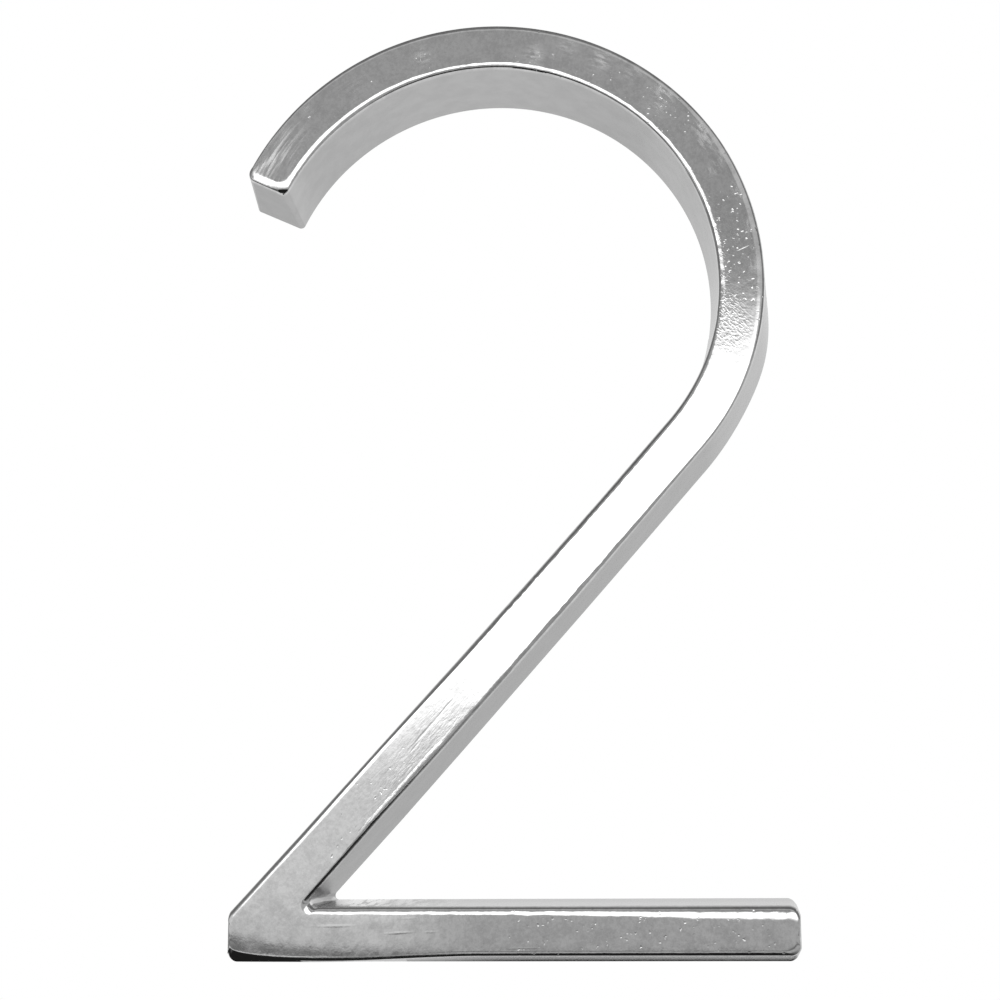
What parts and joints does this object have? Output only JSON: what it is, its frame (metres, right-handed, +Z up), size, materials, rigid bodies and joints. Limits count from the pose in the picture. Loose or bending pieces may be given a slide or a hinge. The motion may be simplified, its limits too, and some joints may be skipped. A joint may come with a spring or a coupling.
{
  "type": "house number",
  "caption": "Polished cast metal figure two with leaning walls, rounded front edges and two blind tapped stud holes in its flat back.",
  "frame": {"origin": "on the flat back, midway between the two tapped stud holes", "axes": "+Z up the figure, +Y out of the back towards the wall, so the face looks along -Y, +X to the reader's right"},
  "size_m": [0.0724, 0.013, 0.125],
  "materials": {
    "figure_two": "polished, with fine pits and scratches"
  },
  "bodies": {
    "root": {"figure_two": "figure_two"}
  },
  "joints": []
}
